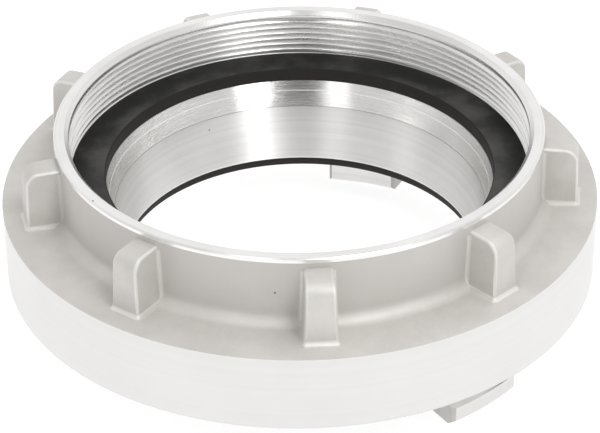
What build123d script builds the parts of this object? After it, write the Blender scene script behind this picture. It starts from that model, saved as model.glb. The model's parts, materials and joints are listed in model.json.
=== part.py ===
from build123d import *
import os
from math import atan, cos, degrees, radians, sin

# Quarter turn fire hose coupling with a female pipe thread, in millimetres.
# It stands on its three lug tips with the threaded stub upwards. The origin lies
# on the coupling's axis, in the plane of the lug tips, and +Z points to the stub.
# It is three pieces: the turned casting, the flat gasket under the thread and the
# lipped seal in the coupling face.

# Lugs. Their inner faces span the lug spacing, and their hooks point outwards.
lug_count = 3
lug_spacing = 160.0
lug_arc = 18.6
first_lug_angle = 72.35
lug_reach = 20.5
lug_shank = 7.3
lug_tip_chamfer = 1.5
lug_end_chamfer = 1.0
hook_reach = 6.6
hook_depth = 7.8
hook_tip_chamfer = 2.5
hook_tip_width = 10.7
hook_root_chamfer = 0.9
lug_root_chamfer = 1.2

# Collar. The mating lugs enter it by a slot beside each lug and turn behind its lip.
collar_height = 27.7
collar_wall = 9.8
collar_roof = 6.2
collar_edge_chamfer = 0.3
lip_thickness = 13.0
ramp_rise = 1.8
lip_edge_chamfer = 1.2
slot_play = 4.1
running_clearance = 1.3
hub_clearance = 1.0

# Shoulder, the cast face on top of the collar.
shoulder_rise = 0.8
shoulder_slope_width = 5.5
shoulder_fillet = 4.5

# Stub with a parallel pipe thread for 6 inch pipe, 11 threads to the inch. The
# thread's own ridge is left out here, so the wall stands at its root.
thread_diameter = 163.83
thread_relief_depth = 0.6
thread_relief_height = 5.6
stub_wall = 3.7
stub_height = 26.0
rim_chamfer = 0.4

# Nine ribs on the stub give the coupling spanner its hold.
rib_count = 9
first_rib_angle = 33.8
rib_reach = 12.5
rib_face_lean = 0.7
rib_drop = 3.4
rib_top_fall = 0.5
rib_top_width = 9.6
rib_foot_width = 11.4
rib_crown_radius = 4.5
rib_edge_chamfer = 0.8
rib_foot_radius = 1.8

# Waterway. It narrows from the gasket to the coupling face in two cones.
hub_wall = 16.1
hub_inset = 0.5
lower_cone_height = 21.0
lower_cone_flare = 2.8
gasket_seat_height = 9.8

# Flat gasket under the thread.
gasket_thickness = 4.8
gasket_width = 14.0
gasket_clearance = 0.2

# Face seal. Its root is held in an undercut groove and its head covers the hub.
seal_head = 2.4
seal_lip = 1.1
seal_lip_width = 3.0
seal_lip_flare = 0.9
seal_edge_chamfer = 0.8
seal_clearance = 0.15
groove_land = 3.4
groove_width = 7.2
groove_depth = 8.6
groove_undercut = 2.0
groove_undercut_height = 3.4
hub_land = 2.8

# Radii worked out from the sizes above.
lug_inner_radius = lug_spacing / 2
shank_radius = lug_inner_radius + lug_shank
hook_radius = shank_radius + hook_reach
hub_radius = lug_inner_radius - hub_clearance
lip_radius = shank_radius + running_clearance
groove_radius = hook_radius + running_clearance
collar_radius = groove_radius + collar_wall
face_bore_radius = hub_radius - hub_wall
waist_radius = face_bore_radius + lower_cone_flare
thread_radius = thread_diameter / 2
relief_radius = thread_radius + thread_relief_depth
seat_outer_radius = relief_radius - gasket_clearance
seat_inner_radius = seat_outer_radius - gasket_width
stub_radius = thread_radius + stub_wall

# Heights worked out from the sizes above.
face_z = lug_reach
hub_face_z = face_z + hub_inset
collar_top_z = face_z + collar_height
shoulder_z = collar_top_z + shoulder_rise
channel_roof_z = collar_top_z - collar_roof
lip_z = face_z + lip_thickness
waist_z = hub_face_z + lower_cone_height
gasket_seat_z = waist_z + gasket_seat_height
relief_top_z = gasket_seat_z + thread_relief_height
rim_z = collar_top_z + stub_height

# Angles in degrees, counted from the middle of a lug.
lug_pitch = 360 / lug_count
slot_arc = lug_arc + slot_play
lip_arc = lug_pitch - lug_arc - slot_arc
slot_start = lug_arc / 2
lip_start = slot_start + slot_arc

# Angle by which a cut runs on under the lug beside it.
under_lug = 1.0

# How far a piece is carried into the metal that it grows from.
overlap = 2.0

# The fillets on the shoulder are drawn in straight steps, as flat faces and cones
# take far fewer triangles than round ones.
fillet_steps = 6
foot_steps = 3

# How far a rib's foot is sunk into the rib and the shoulder, so that no faces coincide.
foot_sink = 0.05


def radial_plane(angle):
    """Plane through the axis, with its x outwards at this angle and its y upwards."""
    outwards = (cos(radians(angle)), sin(radians(angle)), 0)
    across = (sin(radians(angle)), -cos(radians(angle)), 0)
    return Plane(origin=(0, 0, 0), x_dir=outwards, z_dir=across)


def corner(sketch, radius, height):
    """The corner of a radial section that stands at this radius and height."""
    return sketch.vertices().sort_by_distance((radius, height))[0]


# Pocket behind one lip, whose floor is a ramp that draws the couplings together.
ramp_mid_angle = lip_start + lip_arc / 2
ramp_mid_radius = (lip_radius + groove_radius) / 2
ramp_length = 2 * ramp_mid_radius * sin(radians(lip_arc / 2))
ramp_tilt = degrees(atan(ramp_rise / ramp_length))
ramp_plane = Plane(
    origin=(ramp_mid_radius, 0, lip_z - ramp_rise / 2),
    x_dir=(1, 0, 0),
    z_dir=(0, -sin(radians(ramp_tilt)), cos(radians(ramp_tilt))),
)

with BuildPart() as ramp_pocket:
    with BuildSketch(radial_plane(-lip_arc / 2 - under_lug)):
        with Locations((lip_radius - overlap, channel_roof_z)):
            Rectangle(
                groove_radius - lip_radius + overlap,
                channel_roof_z - face_z,
                align=(Align.MIN, Align.MAX),
            )
    revolve(axis=Axis.Z, revolution_arc=lip_arc + 2 * under_lug)
    split(bisect_by=ramp_plane, keep=Keep.TOP)

# Slot by which one mating lug enters the collar.
with BuildPart() as entry_slot:
    with BuildSketch(radial_plane(-slot_arc / 2 - under_lug)):
        with Locations((lip_radius - overlap, face_z - overlap)):
            Rectangle(
                groove_radius - lip_radius + overlap,
                channel_roof_z - face_z + overlap,
                align=(Align.MIN, Align.MIN),
            )
    revolve(axis=Axis.Z, revolution_arc=slot_arc + under_lug)

# One lug on +X with the root that joins it to hub, roof and collar.
with BuildPart() as lug:
    with BuildSketch(radial_plane(-lug_arc / 2)) as lug_section:
        with BuildLine():
            Polyline(
                (hub_radius - overlap, channel_roof_z + overlap),
                (hub_radius - overlap, hub_face_z),
                (lug_inner_radius, hub_face_z),
                (lug_inner_radius, lug_tip_chamfer),
                (lug_inner_radius + lug_tip_chamfer, 0),
                (lug_inner_radius + hook_tip_width, 0),
                (hook_radius, hook_tip_chamfer),
                (hook_radius, hook_depth),
                (shank_radius, hook_depth),
                (shank_radius, face_z),
                (groove_radius + overlap, face_z),
                (groove_radius + overlap, channel_roof_z + overlap),
                close=True,
            )
        make_face()
    revolve(axis=Axis.Z, revolution_arc=lug_arc)
    arcs = lug.edges().filter_by(GeomType.CIRCLE)
    hook_root = arcs.sort_by_distance((shank_radius, 0, hook_depth))[0]
    shank_root = arcs.sort_by_distance((shank_radius, 0, face_z))[0]
    chamfer(hook_root, length=hook_root_chamfer)
    chamfer(shank_root, length=lug_root_chamfer)
    end_edges = lug.edges().filter_by(Axis.Z).filter_by_position(Axis.Z, 0, face_z)
    chamfer(end_edges, length=lug_end_chamfer)

# One rib on +X: its drafted front meets its side, which is rounded at the crown.
rib_top_z = rim_z - rib_drop
rib_root_z = shoulder_z - overlap
rib_root_radius = (thread_radius + stub_radius) / 2
rib_radius = stub_radius + rib_reach
front_draft = rib_face_lean / (rib_top_z - rib_root_z)
side_draft = (rib_foot_width - rib_top_width) / 2 / (rib_top_z - rib_root_z)
with BuildPart() as rib:
    with BuildSketch(Plane.YZ.offset(rib_root_radius)):
        with BuildLine():
            Polyline(
                (-rib_foot_width / 2, rib_root_z),
                (-rib_top_width / 2, rib_top_z),
                (rib_top_width / 2, rib_top_z),
                (rib_foot_width / 2, rib_root_z),
                close=True,
            )
        make_face()
    extrude(amount=rib_reach + stub_wall)
    with BuildSketch(Plane.XZ) as rib_side:
        with BuildLine():
            Polyline(
                (rib_root_radius, rib_root_z),
                (rib_root_radius, rib_top_z),
                (rib_radius - rib_face_lean, rib_top_z - rib_top_fall),
                (rib_radius, rib_root_z),
                close=True,
            )
        make_face()
        fillet(corner(rib_side, rib_radius, rib_top_z), radius=rib_crown_radius)
    extrude(amount=rib_foot_width, both=True, mode=Mode.INTERSECT)
    outer_edges = rib.edges().filter_by_position(Axis.X, stub_radius, rib_radius + overlap)
    outer_edges = outer_edges.filter_by_position(Axis.Z, shoulder_z, rib_top_z + overlap)
    chamfer(outer_edges, length=rib_edge_chamfer)

    # Its foot spreads into the shoulder in steps, just sunk into the rib's own faces.
    for step in range(foot_steps + 1):
        turn = radians(90 * step / foot_steps)
        foot_z = shoulder_z - foot_sink + rib_foot_radius * (1 - cos(turn))
        spread = rib_foot_radius * (1 - sin(turn)) - foot_sink
        reach = rib_radius - front_draft * (foot_z - rib_root_z) + spread - rib_root_radius
        half_width = rib_foot_width / 2 - side_draft * (foot_z - rib_root_z) + spread
        with BuildSketch(Plane.XY.offset(foot_z)) as foot_outline:
            with Locations((rib_root_radius, 0)):
                Rectangle(reach, 2 * half_width, align=(Align.MIN, Align.CENTER))
            chamfer(foot_outline.vertices().sort_by(Axis.X)[-2:], length=rib_edge_chamfer + spread / 2)
    loft(ruled=True)

# Points of the fillet at the stub's foot.
fillet_points = []
for step in range(fillet_steps + 1):
    turn = radians(90 * step / fillet_steps)
    fillet_points.append(
        (
            stub_radius + shoulder_fillet * (1 - sin(turn)),
            shoulder_z + shoulder_fillet * (1 - cos(turn)),
        )
    )

# The casting: one revolved section, then pockets, lugs and ribs round the axis.
with BuildPart() as coupling_body:
    with BuildSketch(radial_plane(0)) as casting_section:
        with BuildLine():
            Polyline(
                (face_bore_radius, hub_face_z),
                (hub_radius, hub_face_z),
                (hub_radius, channel_roof_z),
                (lip_radius, channel_roof_z),
                (lip_radius, face_z),
                (collar_radius, face_z),
                (collar_radius, collar_top_z),
                (collar_radius - shoulder_slope_width, shoulder_z),
                *fillet_points,
                (stub_radius, rim_z),
                (thread_radius, rim_z),
                (thread_radius, relief_top_z),
                (relief_radius, relief_top_z - thread_relief_depth),
                (relief_radius, gasket_seat_z),
                (seat_inner_radius, gasket_seat_z),
                (waist_radius, waist_z),
                close=True,
            )
        make_face()
        chamfer(corner(casting_section, collar_radius, face_z), length=collar_edge_chamfer)
        chamfer(corner(casting_section, lip_radius, face_z), length=lip_edge_chamfer)
        chamfer(corner(casting_section, stub_radius, rim_z), length=rim_chamfer)
    revolve(axis=Axis.Z)

    with PolarLocations(0, lug_count, start_angle=first_lug_angle + ramp_mid_angle):
        add(ramp_pocket.part, mode=Mode.SUBTRACT)
    with PolarLocations(0, lug_count, start_angle=first_lug_angle + slot_start + slot_arc / 2):
        add(entry_slot.part, mode=Mode.SUBTRACT)
    with PolarLocations(0, lug_count, start_angle=first_lug_angle):
        add(lug.part)

    groove_inner_radius = face_bore_radius + groove_land
    groove_outer_radius = groove_inner_radius + groove_width
    groove_floor_z = hub_face_z + groove_depth
    with BuildSketch(radial_plane(0)):
        with BuildLine():
            Polyline(
                (groove_inner_radius, hub_face_z - overlap),
                (groove_outer_radius, hub_face_z - overlap),
                (groove_outer_radius, groove_floor_z - groove_undercut_height),
                (groove_outer_radius + groove_undercut, groove_floor_z - groove_undercut_height),
                (groove_outer_radius + groove_undercut, groove_floor_z),
                (groove_inner_radius, groove_floor_z),
                close=True,
            )
        make_face()
    revolve(axis=Axis.Z, mode=Mode.SUBTRACT)

    with PolarLocations(0, rib_count, start_angle=first_rib_angle):
        add(rib.part)

# The flat gasket lies on its seat under the last turn of thread.
with BuildPart() as thread_gasket:
    with BuildSketch(radial_plane(0)):
        with Locations((seat_inner_radius, gasket_seat_z)):
            Rectangle(gasket_width, gasket_thickness, align=(Align.MIN, Align.MIN))
    revolve(axis=Axis.Z)

# The face seal: head against the hub, lip towards the waterway, root in the groove.
seal_outer_radius = hub_radius - hub_land
seal_head_z = hub_face_z - seal_head
seal_lip_z = seal_head_z - seal_lip
with BuildPart() as face_seal:
    with BuildSketch(radial_plane(0)) as seal_section:
        with BuildLine():
            Polyline(
                (face_bore_radius, hub_face_z),
                (face_bore_radius + seal_lip_flare, seal_lip_z),
                (face_bore_radius + seal_lip_flare + seal_lip_width, seal_lip_z),
                (face_bore_radius + seal_lip_flare + seal_lip_width + seal_lip, seal_head_z),
                (seal_outer_radius, seal_head_z),
                (seal_outer_radius, hub_face_z),
                (groove_outer_radius - seal_clearance, hub_face_z),
                (
                    groove_outer_radius - seal_clearance,
                    groove_floor_z - groove_undercut_height + seal_clearance,
                ),
                (
                    groove_outer_radius + groove_undercut - seal_clearance,
                    groove_floor_z - groove_undercut_height + seal_clearance,
                ),
                (groove_outer_radius + groove_undercut - seal_clearance, groove_floor_z),
                (groove_inner_radius + seal_clearance, groove_floor_z),
                (groove_inner_radius + seal_clearance, hub_face_z),
                close=True,
            )
        make_face()
        chamfer(corner(seal_section, seal_outer_radius, seal_head_z), length=seal_edge_chamfer)
    revolve(axis=Axis.Z)

coupling_body.part.label = "coupling_body"
thread_gasket.part.label = "thread_gasket"
face_seal.part.label = "face_seal"

os.makedirs("parts", exist_ok=True)
export_step(coupling_body.part, "parts/coupling_body.step")
export_step(thread_gasket.part, "parts/thread_gasket.step")
export_step(face_seal.part, "parts/face_seal.step")
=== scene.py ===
"""Looks of the quarter turn fire hose coupling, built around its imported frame.

The casting, its pipe thread, the flat gasket and the face seal are dressed here. All lengths are in
metres, in the frame's own axes: +Z runs up the coupling's axis, and the lug tips stand on z = 0.
"""

from __future__ import annotations

import json
import logging
import math
from dataclasses import dataclass
from enum import Enum
from typing import Sequence, Union

import bmesh
import bpy
from mathutils import Matrix, Vector

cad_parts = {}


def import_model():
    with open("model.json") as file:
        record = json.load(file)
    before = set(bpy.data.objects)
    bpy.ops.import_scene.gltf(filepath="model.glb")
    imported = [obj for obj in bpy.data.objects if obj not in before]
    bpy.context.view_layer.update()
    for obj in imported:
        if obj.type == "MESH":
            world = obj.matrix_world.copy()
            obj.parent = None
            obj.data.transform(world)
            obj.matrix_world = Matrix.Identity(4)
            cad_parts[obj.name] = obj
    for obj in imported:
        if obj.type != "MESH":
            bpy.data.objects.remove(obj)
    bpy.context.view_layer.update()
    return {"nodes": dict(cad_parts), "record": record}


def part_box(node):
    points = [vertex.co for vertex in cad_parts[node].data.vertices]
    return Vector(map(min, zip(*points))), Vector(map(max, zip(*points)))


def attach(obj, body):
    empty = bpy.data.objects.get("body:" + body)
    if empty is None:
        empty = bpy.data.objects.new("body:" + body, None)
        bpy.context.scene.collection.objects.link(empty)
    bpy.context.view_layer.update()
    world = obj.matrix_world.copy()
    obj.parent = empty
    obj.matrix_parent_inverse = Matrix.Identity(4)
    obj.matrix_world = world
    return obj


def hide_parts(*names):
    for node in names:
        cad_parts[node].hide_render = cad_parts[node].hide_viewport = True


LOG = logging.getLogger("coupling")
MM = 0.001
BODY = "root"
TURN = 2 * math.pi
RIB_COUNT = 9
FIRST_RIB = math.radians(33.8)

# A section's (radius, height), the two ends of a fade, an (x, y, z), and a section's corner as
# (radius, height, rounding).
Point = tuple[float, float]
Span = tuple[float, float]
Place = tuple[float, float, float]
Corner = tuple[float, float, float]
Colour = tuple[float, float, float]
Value = Union["Shade", float]

# A pale colour painted as a thin highlight line.
PAINTED_HIGHLIGHT: Colour = (0.95, 0.945, 0.93)
# A dark colour painted as a thin shade line along an edge.
PAINTED_EDGE_SHADE: Colour = (0.16, 0.16, 0.155)
PIT_SHADOW: Colour = (0.09, 0.088, 0.085)

# Where a thin mark's soft edge begins and ends, as shares of its size.
LINE_EDGE: Span = (1.6, 0.4)
PIT_EDGE: Span = (1.3, 0.6)

# Share of a turn by which the drawn-out gloss is turned, to run across the tool's rings.
GLOSS_TURN = 0.25

# How much the radius counts beside the height in placing the tool's rings, so that they cross
# cones, walls and flat faces alike.
RADIAL_SHARE = 0.77


class Shade:
    """A socket's value in a node tree, with arithmetic that adds Math nodes."""

    def __init__(self, graph: "Graph", socket: bpy.types.NodeSocket) -> None:
        """Wraps an output socket of a graph.

        Args:
            graph: the graph that the socket belongs to.
            socket: the output socket to wrap.
        """
        self.graph = graph
        self.socket = socket

    def _maths(self, operation: str, *values: Value, clamp: bool = False) -> "Shade":
        """Adds one Math node and returns its result."""
        return self.graph.maths(operation, *values, clamp=clamp)

    def __add__(self, other: Value) -> "Shade":
        """This value plus another."""
        return self._maths("ADD", self, other)

    def __radd__(self, other: Value) -> "Shade":
        """Another value plus this one."""
        return self._maths("ADD", other, self)

    def __sub__(self, other: Value) -> "Shade":
        """This value less another."""
        return self._maths("SUBTRACT", self, other)

    def __rsub__(self, other: Value) -> "Shade":
        """Another value less this one."""
        return self._maths("SUBTRACT", other, self)

    def __mul__(self, other: Value) -> "Shade":
        """This value times another."""
        return self._maths("MULTIPLY", self, other)

    def __rmul__(self, other: Value) -> "Shade":
        """Another value times this one."""
        return self._maths("MULTIPLY", other, self)

    def __truediv__(self, other: Value) -> "Shade":
        """This value over another."""
        return self._maths("DIVIDE", self, other)

    def clamped(self) -> "Shade":
        """This value, held between 0 and 1."""
        return self._maths("ADD", self, 0.0, clamp=True)

    def _range(self, course: str, start: float, end: float) -> "Shade":
        """Adds one Map Range node, which gives 0 at the start and 1 at the end."""
        return self.graph.node(
            "ShaderNodeMapRange",
            {"interpolation_type": course},
            {"Value": self, "From Min": start, "From Max": end},
        )

    def step(self, start: float, end: float) -> "Shade":
        """A smooth step of this value.

        Args:
            start: the value at which the step begins, where the result is 0.
            end: the value at which the step ends, where the result is 1.

        Returns:
            A value from 0 to 1.
        """
        return self._range("SMOOTHSTEP", start, end)

    def ramp(self, start: float, end: float) -> "Shade":
        """A straight ramp of this value.

        Args:
            start: the value up to which the result is 0.
            end: the value from which the result is 1.

        Returns:
            A value from 0 to 1.
        """
        return self._range("LINEAR", start, end)


class Graph:
    """A node tree under construction, for a material, the world or Geometry Nodes."""

    def __init__(self, tree: bpy.types.NodeTree) -> None:
        """Empties a tree and builds in it.

        Args:
            tree: the node tree to fill.
        """
        self.tree = tree
        tree.nodes.clear()

    def node(
        self,
        kind: str,
        settings: dict[str, object] | None = None,
        inputs: dict[Union[str, int], object] | None = None,
        output: Union[str, int] = 0,
    ) -> Shade:
        """Adds a node of any type.

        Args:
            kind: the node's type, such as ShaderNodeTexNoise.
            settings: the node's own settings, which are set before its sockets.
            inputs: values or links for its sockets, by name or number.
            output: the output socket to return.

        Returns:
            The chosen output.
        """
        made = self.tree.nodes.new(kind)
        for name, value in (settings or {}).items():
            setattr(made, name, value)
        for key, value in (inputs or {}).items():
            socket = made.inputs[key]
            if isinstance(value, Shade):
                self.tree.links.new(value.socket, socket)
            else:
                socket.default_value = value
        socket = made.outputs[output] if len(made.outputs) else made.inputs[0]
        return Shade(self, socket)

    def maths(self, operation: str, *values: Value, clamp: bool = False) -> Shade:
        """Adds a Math node.

        Args:
            operation: the Math node's operation, such as MULTIPLY.
            values: its operands, as numbers or links.
            clamp: whether the result is held between 0 and 1.

        Returns:
            The node's result.
        """
        settings = {"operation": operation, "use_clamp": clamp}
        return self.node("ShaderNodeMath", settings, dict(enumerate(values)))

    def split(self, vector: Shade) -> tuple[Shade, Shade, Shade]:
        """The three coordinates of a vector."""
        parts = self.node("ShaderNodeSeparateXYZ", None, {0: vector}).socket.node
        return tuple(Shade(self, socket) for socket in parts.outputs)

    def join(self, x: Value, y: Value, z: Value) -> Shade:
        """A vector from three coordinates."""
        return self.node("ShaderNodeCombineXYZ", None, {0: x, 1: y, 2: z})


class Surface(Graph):
    """The node tree of one material, with the coordinates that its patterns read."""

    def __init__(self, name: str) -> None:
        """Starts a material.

        Args:
            name: the material's name.
        """
        self.material = bpy.data.materials.new(name)
        self.material.use_nodes = True
        super().__init__(self.material.node_tree)
        self.place = self.node("ShaderNodeTexCoord", output="Object")
        self.x, self.y, self.z = self.split(self.place)
        self.radius = self.maths("SQRT", self.x * self.x + self.y * self.y)

    def noise(
        self,
        vector: Shade,
        scale: float,
        detail: float = 2.0,
        roughness: float = 0.5,
        dimensions: str = "3D",
    ) -> Shade:
        """A noise value about 0.5.

        Args:
            vector: where the noise is read, or a single value for 1D noise.
            scale: patterns to the metre.
            detail: number of finer octaves.
            roughness: share of each finer octave.
            dimensions: 1D or 3D.

        Returns:
            The noise value.
        """
        where = "W" if dimensions == "1D" else "Vector"
        return self.node(
            "ShaderNodeTexNoise",
            {"noise_dimensions": dimensions},
            {where: vector, "Scale": scale, "Detail": detail, "Roughness": roughness},
        )

    def blend(self, factor: Value, low: Union[Colour, Shade], high: Union[Colour, Shade]) -> Shade:
        """A colour between two others.

        Args:
            factor: 0 for the low colour, 1 for the high one.
            low: a colour or a link.
            high: a colour or a link.

        Returns:
            The blended colour.
        """
        made = self.tree.nodes.new("ShaderNodeMix")
        made.data_type = "RGBA"
        chosen = {"Factor_Float": factor, "A_Color": low, "B_Color": high}
        for socket in made.inputs:
            value = chosen.get(socket.identifier)
            if isinstance(value, Shade):
                self.tree.links.new(value.socket, socket)
            elif isinstance(value, tuple):
                socket.default_value = (*value, 1.0)
            elif value is not None:
                socket.default_value = value
        result = next(s for s in made.outputs if s.identifier == "Result_Color")
        return Shade(self, result)

    def bump(self, height: Shade, distance: float) -> Shade:
        """A normal that follows a height.

        Args:
            height: the height.
            distance: the height of a full step, in metres.

        Returns:
            The bumped normal.
        """
        return self.node("ShaderNodeBump", None, {"Height": height, "Distance": distance})

    def line(self, level: float, half_width: float = 0.14 * MM) -> Shade:
        """A thin ring round the axis.

        Args:
            level: the ring's height.
            half_width: half its width.

        Returns:
            1 on the ring, 0 off it.
        """
        off = self.maths("ABSOLUTE", self.z - level)
        return off.step(*(half_width * share for share in LINE_EDGE))

    def pit(self, middle: Place, radius: float = 0.36 * MM) -> Shade:
        """A small round pit.

        Args:
            middle: its (x, y, z).
            radius: its radius.

        Returns:
            1 in the pit, 0 off it.
        """
        sides = [here - there for here, there in zip((self.x, self.y, self.z), middle)]
        square = sides[0] * sides[0] + sides[1] * sides[1] + sides[2] * sides[2]
        return self.maths("SQRT", square).step(*(radius * share for share in PIT_EDGE))

    def pitted(self, colour: Shade, pits: Sequence[Place]) -> Shade:
        """A colour with a few small dark pits in it.

        Args:
            colour: the colour round the pits.
            pits: the pits' places.

        Returns:
            The colour with its pits.
        """
        for middle in pits:
            colour = self.blend(self.pit(middle), colour, PIT_SHADOW)
        return colour

    def finish(self, inputs: dict[Union[str, int], object]) -> bpy.types.Material:
        """Ends the material in a Principled shader.

        Args:
            inputs: values or links for the shader's sockets.

        Returns:
            The finished material.
        """
        shader = self.node("ShaderNodeBsdfPrincipled", None, inputs)
        self.node("ShaderNodeOutputMaterial", None, {"Surface": shader})
        return self.material


@dataclass(frozen=True)
class TurnedAluminium:
    """Bright turned aluminium, with the fine rings that the tool leaves round the axis.

    Attributes:
        name: the material's name.
        tint: the clean metal.
        worn_tint: the metal where it has dulled in rings.
        roughness: its mean roughness.
        drawn_out: how far the rings draw out its gloss along the axis.
        ring_scale: rings to the metre.
        ring_depth: depth of the rings.
        lean: slope by which the tool's marks lean the gloss upwards.
        streak_scale: broad rings of other gloss, to the metre.
        streak_depth: how far the broad rings change the gloss.
        cloud_scale: soft clouds of other gloss, to the metre.
        cloud_depth: how far the clouds change the gloss.
        wear: mean of streaks and clouds at which the metal begins to dull, and is all dull.
        painted_shade_lines: heights of thin dark lines round the axis, painted as the shade along an
            edge.
        painted_shade_share: how dark that painted shade is, from 0 to 1.
        painted_highlight_lines: heights of thin pale lines painted as the highlights of small edges.
        highlight_line_gloss_loss: how much metallic gloss the metal loses in those highlights.
        pits: places of small dark pits.
    """

    name: str = "turned_aluminium"
    tint: Colour = (0.80, 0.79, 0.775)
    worn_tint: Colour = (0.74, 0.73, 0.715)
    roughness: float = 0.34
    drawn_out: float = 0.55
    ring_scale: float = 5200.0
    ring_depth: float = 0.010 * MM
    lean: float = 0.0
    streak_scale: float = 420.0
    streak_depth: float = 0.10
    cloud_scale: float = 38.0
    cloud_depth: float = 0.10
    wear: Span = (0.35, 0.68)
    painted_shade_lines: tuple[float, ...] = ()
    painted_shade_share: float = 0.6
    painted_highlight_lines: tuple[float, ...] = ()
    highlight_line_gloss_loss: float = 0.8
    pits: tuple[Place, ...] = ()

    def material(self) -> bpy.types.Material:
        """Builds the material.

        Returns:
            The material.
        """
        surface = Surface(self.name)
        along = surface.radius * RADIAL_SHARE + surface.z
        rings = surface.noise(along, self.ring_scale, 3.0, 0.6, "1D")
        streaks = surface.noise(along, self.streak_scale, 2.0, 0.6, "1D")
        clouds = surface.noise(surface.place, self.cloud_scale, 3.0, 0.55)
        worn = (streaks * 0.5 + clouds * 0.5).step(*self.wear)
        colour = surface.blend(worn, self.tint, self.worn_tint)
        smoothest = self.roughness - (self.streak_depth + self.cloud_depth) / 2
        height = rings * self.ring_depth - surface.z * self.lean
        metallic: Value = 1.0
        # Thin pale lines painted as highlights of small edges, with less metallic gloss.
        for level in self.painted_highlight_lines:
            line = surface.line(level)
            colour = surface.blend(line, colour, PAINTED_HIGHLIGHT)
            metallic = metallic - line * self.highlight_line_gloss_loss
        # Thin dark lines painted as the shade along an edge.
        for level in self.painted_shade_lines:
            colour = surface.blend(surface.line(level) * self.painted_shade_share, colour, PAINTED_EDGE_SHADE)
        return surface.finish(
            {
                "Base Color": surface.pitted(colour, self.pits),
                "Metallic": metallic,
                "Roughness": streaks * self.streak_depth + clouds * self.cloud_depth + smoothest,
                "Anisotropic": self.drawn_out,
                "Anisotropic Rotation": GLOSS_TURN,
                "Normal": surface.bump(height, 1.0),
            }
        )


@dataclass(frozen=True)
class CastAluminium:
    """Blasted cast aluminium: matt, warm light grey, with a fine sandy grain.

    Attributes:
        name: the material's name.
        light: the metal where the blasting left it bright.
        dark: the metal where it is dull.
        metallic: how much of it is bare metal under the oxide.
        roughness: its mean roughness.
        cloud_scale: soft clouds of duller metal, to the metre.
        cloud_roughness: how far the clouds change the roughness.
        wear: mix of clouds and grain at which the metal begins to dull, and is all dull.
        grain_scale: grains to the metre.
        grain_depth: depth of the grain.
        pore_scale: pores to the metre, before most are left out.
        pore_level: noise level at which a pore begins, and at which it is deepest.
        pore_depth: depth of a pore, as a share of the grain's.
        rib_half_width: half a rib's width at its top.
        rib_draft: how much that half grows for each metre down.
        rib_top: height at which the ribs' flanks end.
        stub_radius: radius of the stub that the ribs stand on.
        rounding: size of the rounded corners there, painted pale as a highlight.
        corner_edge: where those corners' soft edge begins and ends, as shares of their size.
        corner_highlight_share: how strong that painted highlight is, from 0 to 1.
        rib_top_edge: heights over the flanks' top where they fade out and in.
        bright: the pale colour painted in those corners as a highlight.
        dull: share of the dark metal painted onto the stub's plain wall as shade.
        wall_edge: distances off the stub's radius where that wall fades out and in.
        pits: places of larger pits.
    """

    name: str = "cast_aluminium"
    light: Colour = (0.655, 0.637, 0.610)
    dark: Colour = (0.585, 0.567, 0.542)
    metallic: float = 0.55
    roughness: float = 0.62
    cloud_scale: float = 45.0
    cloud_roughness: float = 0.12
    wear: Span = (0.36, 0.66)
    grain_scale: float = 1500.0
    grain_depth: float = 0.04 * MM
    pore_scale: float = 260.0
    pore_level: Span = (0.30, 0.24)
    pore_depth: float = 0.8
    rib_half_width: float = 4.8 * MM
    rib_draft: float = 0.041
    rib_top: float = 69.2 * MM
    stub_radius: float = 85.615 * MM
    rounding: float = 0.85 * MM
    corner_edge: Span = (1.5, 0.7)
    corner_highlight_share: float = 0.7
    rib_top_edge: Span = (0.6 * MM, -0.2 * MM)
    bright: Colour = (0.80, 0.785, 0.76)
    dull: float = 0.8
    wall_edge: Span = (0.5 * MM, 0.1 * MM)
    pits: tuple[Place, ...] = ()

    def material(self) -> bpy.types.Material:
        """Builds the material.

        Returns:
            The material.
        """
        surface = Surface(self.name)
        clouds = surface.noise(surface.place, self.cloud_scale, 4.0, 0.6)
        grain = surface.noise(surface.place, self.grain_scale, 3.0, 0.65)
        pores = surface.noise(surface.place, self.pore_scale).step(*self.pore_level)
        # The stub's plain upright wall is painted darker than the shoulder and ribs, as shade.
        wall_shade_mask = surface.radius.step(*(self.stub_radius + off for off in self.wall_edge))
        shade = (clouds * 0.75 + grain * 0.25).step(*self.wear) + wall_shade_mask * self.dull
        colour = surface.blend(shade.clamped(), self.light, self.dark)
        # Pale stripes painted where the ribs' flanks meet the stub, as the highlight of a rounded
        # corner.
        colour = surface.blend(self.corners(surface) * self.corner_highlight_share, colour, self.bright)
        return surface.finish(
            {
                "Base Color": surface.pitted(colour, self.pits),
                "Metallic": self.metallic,
                "Roughness": clouds * self.cloud_roughness + (self.roughness - self.cloud_roughness / 2),
                "Normal": surface.bump(grain - pores * self.pore_depth, self.grain_depth),
            }
        )

    def corners(self, surface: Surface) -> Shade:
        """The corners where the ribs' flanks meet the stub.

        Args:
            surface: the material's node tree.

        Returns:
            1 in the corners, where the highlight is painted, 0 off them.
        """
        angle = surface.maths("ARCTAN2", surface.y, surface.x)
        half_pitch = TURN / RIB_COUNT / 2
        off_rib = surface.maths("WRAP", angle - FIRST_RIB, half_pitch, -half_pitch)
        half_width = (self.rib_top - surface.z) * self.rib_draft + self.rib_half_width
        aside = surface.maths("ABSOLUTE", surface.radius * surface.maths("SINE", off_rib)) - half_width
        outwards = surface.radius - self.stub_radius
        off_corner = surface.maths("SQRT", aside * aside + outwards * outwards)
        corner = off_corner.step(*(self.rounding * share for share in self.corner_edge))
        return corner * surface.z.step(*(self.rib_top + over for over in self.rib_top_edge))


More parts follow.
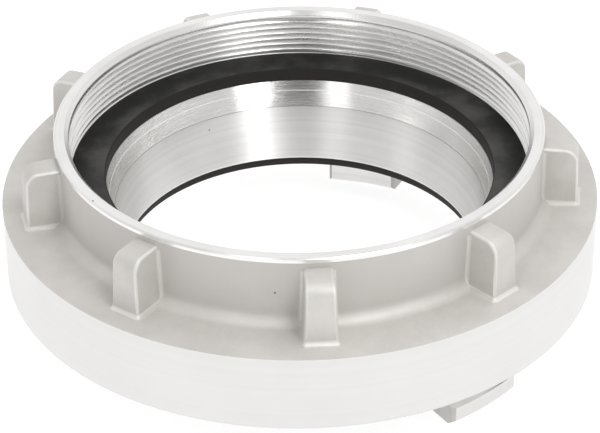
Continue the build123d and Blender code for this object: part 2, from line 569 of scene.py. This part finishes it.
@dataclass(frozen=True)
class BlackRubber:
    """Moulded black rubber, a little dusty, with soft scuffs.

    Attributes:
        name: the material's name.
        black: the clean rubber.
        dusty: the rubber under dust.
        side: the cut side towards the waterway.
        side_radius: radius of that side.
        side_edge: distances off that radius where the side fades out and in.
        side_roughness: how much rougher the side is.
        roughness: the rubber's mean roughness.
        dust_scale: clouds of dust to the metre.
        dust_level: dust at which the rubber begins to look dusty, and is all dusty.
        dust_roughness: how far the dust changes the roughness.
        side_dust: how much dust the edge by the waterway gains.
        side_dust_edge: distances off the side where that edge fades out and in.
        scuff_scale: scuffs to the metre.
        scuff_level: noise level at which a scuff begins, and is palest.
        scuff_share: how pale a scuff is, from 0 to 1.
        skin_scale: unevenness of the skin, to the metre.
        skin_depth: depth of that unevenness.
        gloss: the rubber's specular level.
    """

    name: str = "black_rubber"
    black: Colour = (0.012, 0.0117, 0.0112)
    dusty: Colour = (0.056, 0.055, 0.053)
    side: Colour = (0.016, 0.0135, 0.012)
    side_radius: float = 68.35 * MM
    side_edge: Span = (0.5 * MM, 0.2 * MM)
    side_roughness: float = 0.25
    roughness: float = 0.46
    dust_scale: float = 55.0
    dust_level: Span = (0.44, 0.80)
    dust_roughness: float = 0.22
    side_dust: float = 0.10
    side_dust_edge: Span = (9.0 * MM, 2.0 * MM)
    scuff_scale: float = 130.0
    scuff_level: Span = (0.60, 0.72)
    scuff_share: float = 0.25
    skin_scale: float = 700.0
    skin_depth: float = 0.03 * MM
    gloss: float = 0.25

    def material(self) -> bpy.types.Material:
        """Builds the material.

        Returns:
            The material.
        """
        surface = Surface(self.name)
        dust = surface.noise(surface.place, self.dust_scale, 4.0, 0.62)
        skin = surface.noise(surface.place, self.skin_scale, 3.0, 0.6)
        scuffs = surface.noise(surface.place, self.scuff_scale, 5.0, 0.7).step(*self.scuff_level)
        by_side = surface.radius.step(*(self.side_radius + off for off in self.side_dust_edge))
        on_side = surface.radius.step(*(self.side_radius + off for off in self.side_edge))
        dusting = (dust + by_side * self.side_dust).step(*self.dust_level)
        dusted = (dusting + scuffs * self.scuff_share).clamped()
        colour = surface.blend(dusted, self.black, self.dusty)
        rough = dust * self.dust_roughness + on_side * self.side_roughness
        return surface.finish(
            {
                "Base Color": surface.blend(on_side, colour, self.side),
                "Roughness": rough + (self.roughness - self.dust_roughness / 2),
                "Specular IOR Level": self.gloss,
                "Normal": surface.bump(skin, self.skin_depth),
            }
        )


@dataclass(frozen=True)
class PaleFloor:
    """The plain pale floor, which glows a little so that shadows on it stay soft.

    Attributes:
        name: the material's name.
        tint: its own grey.
        roughness: its roughness.
        glow: strength of its white glow.
    """

    name: str = "pale_floor"
    tint: Colour = (0.28, 0.28, 0.28)
    roughness: float = 0.9
    glow: float = 0.86

    def material(self) -> bpy.types.Material:
        """Builds the material.

        Returns:
            The material.
        """
        return Surface(self.name).finish(
            {
                "Base Color": (*self.tint, 1.0),
                "Roughness": self.roughness,
                "Emission Color": (1.0, 1.0, 1.0, 1.0),
                "Emission Strength": self.glow,
            }
        )


def link(name: str, data: bpy.types.ID) -> bpy.types.Object:
    """Puts a mesh, a lamp or a camera in the scene as an object at the origin.

    Args:
        name: the object's name.
        data: its mesh, lamp or camera.

    Returns:
        The new object.
    """
    made = bpy.data.objects.new(name, data)
    bpy.context.scene.collection.objects.link(made)
    return made


def plain(made: bpy.types.Object) -> bpy.types.Object:
    """Turns an object's modifiers into its own mesh.

    Args:
        made: the object with its modifiers.

    Returns:
        The same object, with a plain mesh and no modifier.
    """
    bpy.context.view_layer.update()
    graph = bpy.context.evaluated_depsgraph_get()
    mesh = bpy.data.meshes.new_from_object(made.evaluated_get(graph))
    made.modifiers.clear()
    made.data = mesh
    return made


def rest_on_body(made: bpy.types.Object, slot: str, *nodes: str) -> None:
    """Tells the frame what a piece rides on, and hides the nodes that it stands for.

    Args:
        made: the finished piece.
        slot: the record's material slot; not used.
        nodes: the nodes that the piece replaces.
    """
    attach(made, BODY)
    if nodes:
        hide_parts(*nodes)
    LOG.info("%s: %d faces", made.name, len(made.data.polygons))


def lathe(name: str, section: Sequence[Point], segments: int) -> bpy.types.Object:
    """Turns a closed radial section round the Z axis.

    Args:
        name: the new object's name.
        section: (radius, height) points, anticlockwise.
        segments: number of steps in a turn.

    Returns:
        A closed ring.
    """
    mesh = bpy.data.meshes.new(name)
    count = len(section)
    points = []
    faces = []
    for turn in range(segments):
        angle = TURN * turn / segments
        points += [(r * math.cos(angle), r * math.sin(angle), z) for r, z in section]
        here, there = turn * count, (turn + 1) % segments * count
        for i in range(count):
            j = (i + 1) % count
            faces.append((here + i, there + i, there + j, here + j))
    mesh.from_pydata(points, [], faces)
    mesh.update()
    return link(name, mesh)


def rounded(corners: Sequence[Corner], steps: int = 4) -> list[Point]:
    """A closed section whose corners are rounded.

    Args:
        corners: (radius, height, rounding) of each corner, in order.
        steps: number of steps in each rounding.

    Returns:
        The section's points.
    """
    points: list[Point] = []
    count = len(corners)
    for i, (r, z, rounding) in enumerate(corners):
        here = Vector((r, z))
        if rounding <= 0:
            points.append((r, z))
            continue
        before = (Vector(corners[i - 1][:2]) - here).normalized()
        after = (Vector(corners[(i + 1) % count][:2]) - here).normalized()
        half = before.angle(after) / 2
        reach = rounding / math.tan(half)
        start, end = here + before * reach, here + after * reach
        centre = here + (before + after).normalized() * rounding / math.sin(half)
        for k in range(steps + 1):
            arm = (start - centre).lerp(end - centre, k / steps).normalized() * rounding
            points.append(tuple(centre + arm))
    return points


class Zone(Enum):
    """The finishes of the casting, numbered as its material slots."""

    TURNED = 0
    CAST = 1
    # The ribs' chamfers and feet, in a lighter cast finish as painted highlight.
    CAST_EDGE = 2
    UPPER_CONE = 3
    LOWER_CONE = 4
    COLLAR = 5
    # The rim; also the lugs' shanks and hook tops, where its lighter tint is painted light in the
    # collar's shade.
    RIM = 6
    # The lugs' end faces, in a darker cast finish as painted shade.
    LUG_END = 7


@dataclass
class Casting:
    """The aluminium casting, as a smooth copy of its frame node, in its finishes.

    Attributes:
        finishes: the finish of each zone.
        collar_edge: height above which the outside is cast, up to the rim's turned band.
        rim_band: height of the band that is turned under the rim.
        stub_skin: radius that parts the stub's cast outside from its turned inside.
        bore_skin: radius inside which the two cones of the bore lie.
        collar_skin: radius outside which the collar's outside lies.
        waist: height at which the two cones meet.
        lug_skin: radius outside which the lugs stand, under the coupling face.
        hook_skin: radius outside which the fronts of the lugs' hooks lie.
        face: height of the coupling face.
        lug_end: how far a normal leans sideways, at least, on a lug's end face.
        outside: how far it leans outwards or upwards, at least, on a lug's other visible faces.
        rib_reach: distance from a rib's middle within which its edges and foot lie.
        rib_skin: radius outside which they lie.
        foot_top: height up to which the ribs' feet spread.
        foot_slopes: how far a normal leans upwards on a foot, at least and at most.
        chamfer_slopes: how far it leans sideways on a rib's chamfer, at least and at most.
        smooth_under: edges that turn by less than this angle are shaded smooth.
        cast_smooth_under: the same angle between two cast faces.
    """

    finishes: dict[Zone, Union[TurnedAluminium, CastAluminium]]
    collar_edge: float = 48.2 * MM
    rim_band: float = 1.64 * MM
    stub_skin: float = 84.6 * MM
    bore_skin: float = 68.4 * MM
    collar_skin: float = 103.0 * MM
    waist: float = 42.0 * MM
    lug_skin: float = 76.0 * MM
    hook_skin: float = 90.0 * MM
    face: float = 20.4 * MM
    lug_end: float = 0.7
    outside: float = 0.5
    rib_reach: float = 5.9 * MM
    rib_skin: float = 86.4 * MM
    foot_top: float = 50.9 * MM
    foot_slopes: Span = (0.2, 0.95)
    chamfer_slopes: Span = (0.3, 0.93)
    smooth_under: float = math.radians(30)
    cast_smooth_under: float = math.radians(50)

    def build(self, node: bpy.types.Object) -> bpy.types.Object:
        """Copies the node, merges its triangles and dresses them.

        Args:
            node: the frame node.

        Returns:
            The finished casting.
        """
        mesh = node.data.copy()
        mesh.name = "casting"
        merged = bmesh.new()
        merged.from_mesh(mesh)
        bmesh.ops.remove_doubles(merged, verts=merged.verts, dist=0.001 * MM)
        rim = max(v.co.z for v in merged.verts)
        everything = [*merged.verts, *merged.edges, *merged.faces]
        band = Vector((0, 0, rim - self.rim_band))
        bmesh.ops.bisect_plane(merged, geom=everything, plane_co=band, plane_no=(0, 0, 1))
        for face in merged.faces:
            face.smooth = True
            face.material_index = self.zone(face.calc_center_median(), face.normal, rim).value
        cast = {Zone.CAST.value, Zone.CAST_EDGE.value}
        for edge in merged.edges:
            is_cast = all(face.material_index in cast for face in edge.link_faces)
            limit = self.cast_smooth_under if is_cast else self.smooth_under
            edge.smooth = edge.calc_face_angle(math.pi) < limit
        mesh.materials.clear()
        for zone in Zone:
            mesh.materials.append(self.finishes[zone].material())
        merged.to_mesh(mesh)
        merged.free()
        made = link("casting", mesh)
        even = made.modifiers.new("even_shading", "WEIGHTED_NORMAL")
        even.keep_sharp = True
        even.weight = 100
        return plain(made)

    def zone(self, point: Vector, normal: Vector, rim: float) -> Zone:
        """Which finish the surface has at a point.

        Args:
            point: a point on the surface.
            normal: the surface's normal there.
            rim: height of the rim.

        Returns:
            Cast for the shoulder, the ribs and the outside of the stub, with the ribs'
            edges and feet apart in a lighter cast finish as painted highlight. A cone for the
            bore, the collar's and the rim's own finishes, and a darker cast finish on the lug
            ends as painted shade. The hooks' fronts have the collar's finish, and the lugs'
            shanks and tops have the rim's lighter finish as painted light in the collar's
            shade. Turned for the rest.
        """
        radius = math.hypot(point.x, point.y)
        sideways = abs(normal.y * point.x - normal.x * point.y) / radius
        outward = (normal.x * point.x + normal.y * point.y) / radius
        if point.z < self.face and radius > self.lug_skin:
            # A lug's end faces take a darker copy of the cast finish, as painted shade.
            if sideways > self.lug_end:
                return Zone.LUG_END
            if outward > self.outside and radius > self.hook_skin:
                return Zone.COLLAR
            # The shank and the hook's top take the lighter rim finish, as painted light in the collar's
            # shade.
            return Zone.RIM if max(outward, normal.z) > self.outside else Zone.TURNED
        if radius > self.stub_skin and self.collar_edge < point.z < rim - self.rim_band:
            return Zone.CAST_EDGE if self.on_rib_edge(point, normal) else Zone.CAST
        if radius < self.bore_skin:
            return Zone.UPPER_CONE if point.z > self.waist else Zone.LOWER_CONE
        if radius > self.collar_skin:
            return Zone.COLLAR
        return Zone.RIM if point.z > rim - self.rim_band else Zone.TURNED

    def on_rib_edge(self, point: Vector, normal: Vector) -> bool:
        """Whether a face of the cast skin is a rib's chamfer or its spread foot.

        Args:
            point: the face's centre.
            normal: the face's normal.

        Returns:
            True for a chamfer or a foot.
        """
        pitch = TURN / RIB_COUNT
        angle = math.atan2(point.y, point.x)
        off_rib = (angle - FIRST_RIB + pitch / 2) % pitch - pitch / 2
        radius = math.hypot(point.x, point.y)
        if abs(radius * math.sin(off_rib)) > self.rib_reach or radius < self.rib_skin:
            return False
        if point.z < self.foot_top:
            least, most = self.foot_slopes
            return least < normal.z < most
        rib = angle - off_rib
        least, most = self.chamfer_slopes
        return least < abs(normal.y * math.cos(rib) - normal.x * math.sin(rib)) < most


@dataclass
class PipeThread:
    """The stub's female pipe thread: a closed liner whose inner face carries the turns.

    Attributes:
        root: radius of the thread's root, where the frame's wall stands.
        top: height of the liner's upper end, at the rim.
        bottom: height of its lower end.
        depth: height of the ridge over its root.
        pitch: distance from turn to turn.
        backing: radius of the liner's outer wall, inside the metal.
        backing_drop: how far the outer wall's top is under the rim.
        mouth: radius at which the mouth's chamfer meets the rim.
        land: how far under the rim the ridge has risen to half its height.
        run_out: how fast it rises there, in heights of the ridge to a pitch.
        foot_land: how far over the lower end it has risen to half its height.
        foot_run_out: how fast it rises there.
        sharpness: 1 for flanks that are straight up to a sharp crest, less for a blunter one.
        weld: distance within which the liner's seams close.
        segments: steps in a turn.
        rows: steps from the lower end to the rim.
    """

    root: float
    top: float
    bottom: float
    depth: float = 1.479 * MM
    pitch: float = 2.309 * MM
    backing: float = 82.2 * MM
    backing_drop: float = 0.4 * MM
    mouth: float = 81.8 * MM
    land: float = 3.4 * MM
    run_out: float = 0.8
    foot_land: float = 0.5 * MM
    foot_run_out: float = 3.0
    sharpness: float = 0.97
    weld: float = 0.002 * MM
    segments: int = 400
    rows: int = 125

    def build(self, material: bpy.types.Material) -> bpy.types.Object:
        """Makes the liner with Geometry Nodes and turns it into a plain mesh.

        Args:
            material: the liner's material.

        Returns:
            The finished liner.
        """
        tree = self.tree()
        made = link("pipe_thread", bpy.data.meshes.new("pipe_thread"))
        maker = made.modifiers.new("turns", "NODES")
        maker.node_group = tree
        values = {**self.sizes(), "material": material}
        for item in tree.interface.items_tree:
            if item.item_type == "SOCKET" and item.in_out == "INPUT" and item.name in values:
                maker[item.identifier] = values[item.name]
        return plain(made)

    def sizes(self) -> dict[str, Union[float, int]]:
        """The sizes that the tree takes in, by their names.

        Returns:
            The sizes.
        """
        heights = ("top", "bottom", "depth", "pitch", "land", "foot_land", "backing_drop")
        names = ("root", "mouth", "backing", *heights, "segments", "rows")
        return {name: getattr(self, name) for name in names}

    def tree(self) -> bpy.types.NodeTree:
        """The Geometry Nodes tree that turns a grid into the threaded liner.

        Returns:
            The tree, with a named input for each size.
        """
        tree = bpy.data.node_groups.new("threaded_liner", "GeometryNodeTree")
        tree.interface.new_socket("Geometry", in_out="INPUT", socket_type="NodeSocketGeometry")
        for name, value in self.sizes().items():
            kind = "NodeSocketInt" if isinstance(value, int) else "NodeSocketFloat"
            tree.interface.new_socket(name, in_out="INPUT", socket_type=kind)
        tree.interface.new_socket("material", in_out="INPUT", socket_type="NodeSocketMaterial")
        tree.interface.new_socket("Geometry", in_out="OUTPUT", socket_type="NodeSocketGeometry")
        graph = Graph(tree)
        given = tree.nodes.new("NodeGroupInput")
        size = {socket.name: Shade(graph, socket) for socket in given.outputs if socket.name}

        # Four rows past the rim fold the grid over the lip, down the backing and back to the
        # lower end.
        last_row = size["rows"] + 4.0
        counts = {"Vertices X": size["segments"] + 1.0, "Vertices Y": last_row + 1.0}
        grid = graph.node("GeometryNodeMeshGrid", None, {"Size X": 1.0, "Size Y": 1.0, **counts})
        x, y, _ = graph.split(graph.node("GeometryNodeInputPosition"))
        turn = x + 0.5
        row = (y + 0.5) * last_row
        on_lip, on_backing_top, on_backing_foot, closing = (
            graph.maths("GREATER_THAN", row, size["rows"] + past) for past in (0.5, 1.5, 2.5, 3.5)
        )

        share = graph.maths("MINIMUM", row / size["rows"], 1.0) * (1.0 - on_backing_foot)
        height = size["bottom"] + (size["top"] - size["bottom"]) * share
        from_top = size["top"] - height
        from_foot = height - size["bottom"]
        wave = graph.maths("COSINE", (from_foot / size["pitch"] - turn) * TURN)
        flanks = graph.maths("ARCSINE", wave * self.sharpness) * (1 / math.asin(self.sharpness))
        under_land = ((from_top - size["land"]) / size["pitch"] * self.run_out + 0.5).clamped()
        over_foot = ((from_foot - size["foot_land"]) / size["pitch"] * self.foot_run_out + 0.5).clamped()
        in_turns = under_land * over_foot
        ridge = size["root"] - size["depth"] + size["depth"] * (0.5 + 0.5 * flanks) * in_turns
        face = graph.maths("MAXIMUM", ridge, size["mouth"] - from_top)
        is_backing = on_backing_top * (1.0 - closing)
        is_lip = on_lip * (1.0 - on_backing_top)
        radius = face + (size["backing"] - face) * is_backing + (size["root"] - face) * is_lip
        height = height - size["backing_drop"] * (on_backing_top - on_backing_foot)

        angle = turn * TURN
        place = graph.join(
            radius * graph.maths("COSINE", angle), radius * graph.maths("SINE", angle), height
        )
        wrapped = graph.node("GeometryNodeSetPosition", None, {"Geometry": grid, "Position": place})
        seams = {"Geometry": wrapped, "Distance": self.weld}
        closed = graph.node("GeometryNodeMergeByDistance", None, seams)
        real = graph.node("GeometryNodeRealizeInstances", None, {"Geometry": closed})
        coat = {"Geometry": real, "Material": size["material"]}
        dressed = graph.node("GeometryNodeSetMaterial", None, coat)
        graph.node("NodeGroupOutput", None, {"Geometry": dressed})
        return tree


@dataclass
class RubberRing:
    """A rubber ring, turned from a rounded section.

    Attributes:
        name: the piece's name.
        corners: (radius, height, rounding) of the section's corners.
        segments: steps in a turn.
    """

    name: str
    corners: Sequence[Corner]
    segments: int = 220

    def build(self, material: bpy.types.Material) -> bpy.types.Object:
        """Turns the ring.

        Args:
            material: its rubber.

        Returns:
            The finished ring.
        """
        made = lathe(self.name, rounded(self.corners), self.segments)
        made.data.materials.append(material)
        for face in made.data.polygons:
            face.use_smooth = True
        return made


@dataclass
class PhotoCamera:
    """The camera of the photograph, fitted to the coupling's rings.

    Attributes:
        target: height of the point that the sizes below are counted from.
        distance: distance from that point.
        elevation: height of the camera over it, in degrees.
        tilt: how far the view is turned up from that point, as a slope.
        roll: turn of the picture, in degrees.
        lens: focal length, in millimetres on a 36 mm wide sensor.
    """

    target: float = 20.5 * MM
    distance: float = 0.9224
    elevation: float = 33.74
    tilt: float = 0.0132
    roll: float = -0.62
    lens: float = 153.54

    def build(self) -> bpy.types.Object:
        """Places the camera.

        Returns:
            The camera object.
        """
        slope = math.radians(self.elevation)
        place = Vector((0, -math.cos(slope), math.sin(slope))) * self.distance
        level_up = Vector((0, math.sin(slope), math.cos(slope)))
        ahead = (Vector((0, math.cos(slope), -math.sin(slope))) + level_up * self.tilt).normalized()
        right = ahead.cross(Vector((0, 0, 1))).normalized()
        up = right.cross(ahead)
        turn = math.radians(self.roll)
        across = right * math.cos(turn) + up * math.sin(turn)
        upward = up * math.cos(turn) - right * math.sin(turn)
        data = bpy.data.cameras.new("photo_camera")
        data.lens = self.lens
        data.sensor_width = 36.0
        data.sensor_fit = "HORIZONTAL"
        made = link("photo_camera", data)
        axes = Matrix((across, upward, -ahead)).transposed()
        made.matrix_world = Matrix.Translation(place + Vector((0, 0, self.target))) @ axes.to_4x4()
        bpy.context.scene.camera = made
        return made


@dataclass(frozen=True)
class Softbox:
    """A softbox that faces the coupling.

    Attributes:
        name: its name.
        azimuth: its direction round the coupling, in degrees from +X towards +Y.
        elevation: its height over the floor, in degrees.
        width: its width.
        height: its height.
        glow: its radiance, where the white floor is about 1.
        distance: its distance from the coupling.
    """

    name: str
    azimuth: float
    elevation: float
    width: float
    height: float
    glow: float
    distance: float = 1.6

    def build(self) -> None:
        """Hangs the softbox in the scene."""
        data = bpy.data.lights.new(self.name, "AREA")
        data.shape = "RECTANGLE"
        data.size = self.width
        data.size_y = self.height
        data.energy = self.glow * math.pi * self.width * self.height
        made = link(self.name, data)
        azimuth, elevation = math.radians(self.azimuth), math.radians(self.elevation)
        level = Vector((math.cos(azimuth), math.sin(azimuth), 0))
        outwards = level * math.cos(elevation) + Vector((0, 0, math.sin(elevation)))
        facing = outwards.to_track_quat("Z", "Y").to_matrix().to_4x4()
        made.matrix_world = Matrix.Translation(outwards * self.distance) @ facing


@dataclass
class Studio:
    """Soft white studio light, and the pale floor that the coupling stands on.

    Attributes:
        floor_size: side of the floor.
        sky: brightness overhead.
        front: brightness on the camera's side.
        back: brightness behind the coupling.
        side: part of +Y in a direction where the front's brightness ends and the back's begins.
        overhead: part of +Z in a direction where the sky's brightness begins and is full.
        dark: brightness of the dark room behind the camera.
        dark_azimuth: direction of the dark room.
        dark_half_width: half the angle that it takes up.
        dark_edge: angle on either side of that in which it fades.
        dark_top: part of +Z in a direction where the room's ceiling begins and ends.
        softboxes: the lights that give the coupling its form.
    """

    floor_size: float = 12.0
    sky: float = 0.72
    front: float = 0.72
    back: float = 0.98
    side: Span = (-0.6, 0.6)
    overhead: Span = (0.55, 0.95)
    dark: float = 0.05
    dark_azimuth: float = math.radians(-87.7)
    dark_half_width: float = math.radians(16.2)
    dark_edge: float = 0.02
    dark_top: Span = (0.90, 0.97)
    softboxes: tuple[Softbox, ...] = (
        Softbox("right_strip", -60.0, 28.0, 0.40, 1.20, 1.5),
        Softbox("left_strip", -115.0, 28.0, 0.34, 1.20, 1.0),
        Softbox("right_high", -59.0, 57.0, 0.38, 0.60, 10.5),
        Softbox("left_high", -113.5, 57.0, 0.33, 0.60, 1.3),
        Softbox("overhead", 60.0, 80.0, 1.10, 1.10, 0.8),
    )

    def build(self) -> None:
        """Makes the floor, the sky and the lights."""
        half = self.floor_size / 2
        mesh = bpy.data.meshes.new("floor")
        corners = [(-half, -half, 0), (half, -half, 0), (half, half, 0), (-half, half, 0)]
        mesh.from_pydata(corners, [], [(0, 1, 2, 3)])
        mesh.materials.append(PaleFloor().material())
        link("floor", mesh)
        self.light_sky()
        for softbox in self.softboxes:
            softbox.build()

    def light_sky(self) -> None:
        """Fills the world with soft light, with a gap where the dark room shows."""
        world = bpy.data.worlds.new("studio")
        world.use_nodes = True
        bpy.context.scene.world = world
        graph = Graph(world.node_tree)
        x, y, z = graph.split(graph.node("ShaderNodeTexCoord", output="Generated"))
        level = self.front + (self.back - self.front) * y.ramp(*self.side)
        strength = level + (self.sky - level) * z.ramp(*self.overhead)
        from_front = graph.maths("ARCTAN2", x, y * -1.0)
        off = graph.maths("ABSOLUTE", from_front - (self.dark_azimuth + TURN / 4))
        beside = off.step(self.dark_half_width - self.dark_edge, self.dark_half_width + self.dark_edge)
        lit = graph.maths("MAXIMUM", beside, z.step(*self.dark_top))
        strength = self.dark + (strength - self.dark) * lit
        sky = graph.node("ShaderNodeBackground", None, {"Color": (1, 1, 1, 1), "Strength": strength})
        graph.node("ShaderNodeOutputWorld", None, {"Surface": sky})


def gasket_corners(width: float = 14.0 * MM, rounding: float = 0.35 * MM) -> list[Corner]:
    """The flat gasket's section, from its frame node.

    Args:
        width: distance from its inner to its outer edge.
        rounding: rounding of its four corners.

    Returns:
        The section's corners.
    """
    low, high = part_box("thread_gasket")
    inner, outer = high.x - width, high.x
    section = ((inner, low.z), (outer, low.z), (outer, high.z), (inner, high.z))
    return [(radius, height, rounding) for radius, height in section]


def seal_corners() -> list[Corner]:
    """The face seal's section: lip, head and undercut root, from its frame node.

    Returns:
        The section's corners. They are written as radius, height over the seal's lowest
        point and rounding, in millimetres.
    """
    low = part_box("face_seal")[0]
    sizes = (
        (62.90, 3.50, 0.4),
        (63.80, 0.00, 0.4),
        (66.80, 0.00, 0.4),
        (67.90, 1.10, 0.3),
        (75.40, 1.10, 0.3),
        (76.20, 1.90, 0.3),
        (76.20, 3.50, 0.0),
        (73.35, 3.50, 0.0),
        (73.35, 8.85, 0.0),
        (75.35, 8.85, 0.0),
        (75.35, 12.10, 0.0),
        (66.45, 12.10, 0.0),
        (66.45, 3.50, 0.0),
    )
    return [(radius * MM, low.z + rise * MM, rounding * MM) for radius, rise, rounding in sizes]


def casting_finishes() -> dict[Zone, Union[TurnedAluminium, CastAluminium]]:
    """The finish of each zone of the casting.

    Returns:
        The finishes.
    """
    return {
        Zone.TURNED: TurnedAluminium(),
        Zone.CAST: CastAluminium(pits=((-8.4 * MM, -85.2 * MM, 60.9 * MM),)),
        # The ribs' chamfers and feet: a lighter copy of the cast finish, as painted highlight.
        Zone.CAST_EDGE: CastAluminium("cast_edges_painted_highlight", light=(0.77, 0.755, 0.73), dark=(0.71, 0.695, 0.67)),
        Zone.UPPER_CONE: TurnedAluminium(
            "upper_cone",
            tint=(0.92, 0.91, 0.895),
            worn_tint=(0.80, 0.795, 0.785),
            roughness=0.26,
            drawn_out=1.0,
            ring_scale=2600.0,
            ring_depth=0.011 * MM,
            lean=0.22,
            streak_scale=1300.0,
            # A shade line painted along the edge where the two cones meet.
            painted_shade_lines=(42.12 * MM,),
            # A highlight line painted round the upper cone.
            painted_highlight_lines=(48.1 * MM,),
        ),
        Zone.LOWER_CONE: TurnedAluminium(
            "lower_cone",
            tint=(0.86, 0.85, 0.835),
            worn_tint=(0.80, 0.79, 0.775),
            roughness=0.42,
            drawn_out=1.0,
            ring_depth=0.008 * MM,
            streak_depth=0.03,
            # A highlight line painted along the lower cone's bottom edge.
            painted_highlight_lines=(21.35 * MM,),
            pits=((-33.8 * MM, 55.9 * MM, 37.85 * MM),),
        ),
        Zone.COLLAR: TurnedAluminium(
            "turned_collar",
            tint=(0.735, 0.73, 0.722),
            worn_tint=(0.72, 0.715, 0.707),
            roughness=0.42,
            drawn_out=0.3,
            ring_depth=0.002 * MM,
            streak_depth=0.03,
        ),
        Zone.RIM: TurnedAluminium(
            "turned_rim",
            tint=(0.91, 0.905, 0.895),
            worn_tint=(0.80, 0.79, 0.775),
            roughness=0.30,
            drawn_out=0.3,
            pits=((-68.8 * MM, -49.5 * MM, 74.2 * MM),),
        ),
        # The lugs' end faces: a darker copy of the cast finish, as painted shade.
        Zone.LUG_END: CastAluminium("lug_ends_painted_shade", light=(0.60, 0.59, 0.57), dark=(0.54, 0.53, 0.51)),
    }


def thread_finish() -> TurnedAluminium:
    """The finish of the pipe thread, smoother than the casting's own turned faces.

    Returns:
        The finish.
    """
    return TurnedAluminium(
        "threaded_aluminium",
        tint=(0.84, 0.835, 0.825),
        worn_tint=(0.78, 0.775, 0.765),
        roughness=0.28,
        drawn_out=0.5,
        ring_depth=0.0,
        streak_depth=0.02,
        pits=((-21.6 * MM, 77.6 * MM, 69.1 * MM), (-20.5 * MM, 77.9 * MM, 67.3 * MM)),
    )


def pipe_thread(root: float, rim_gap: float = 0.01 * MM, foot_gap: float = 0.05 * MM) -> PipeThread:
    """The pipe thread between the gasket and the rim, from their frame nodes.

    Args:
        root: radius of the thread's root.
        rim_gap: how far the thread ends under the rim.
        foot_gap: how far it ends over the gasket.

    Returns:
        The thread's sizes.
    """
    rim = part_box("coupling_body")[1].z
    gasket_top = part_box("thread_gasket")[1].z
    return PipeThread(root, top=rim - rim_gap, bottom=gasket_top + foot_gap)


def main() -> None:
    """Builds the studio and dresses each piece of the coupling."""
    logging.basicConfig(level=logging.INFO, format="%(name)s %(message)s")
    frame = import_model()
    thread_mount = next(m for m in frame["record"]["mounts"] if m["name"] == "stub_thread")

    PhotoCamera().build()
    Studio().build()
    bpy.context.scene.view_settings.view_transform = "Standard"

    casting = Casting(casting_finishes()).build(frame["nodes"]["coupling_body"])
    rest_on_body(casting, "cast_aluminium", "coupling_body")
    thread = pipe_thread(thread_mount["dims"]["r_mm"] * MM).build(thread_finish().material())
    rest_on_body(thread, "cast_aluminium")

    rubber = BlackRubber().material()
    gasket = RubberRing("gasket", gasket_corners()).build(rubber)
    rest_on_body(gasket, "black_rubber", "thread_gasket")
    seal = RubberRing("seal", seal_corners()).build(rubber)
    rest_on_body(seal, "black_rubber", "face_seal")


if __name__ == "__main__":
    main()
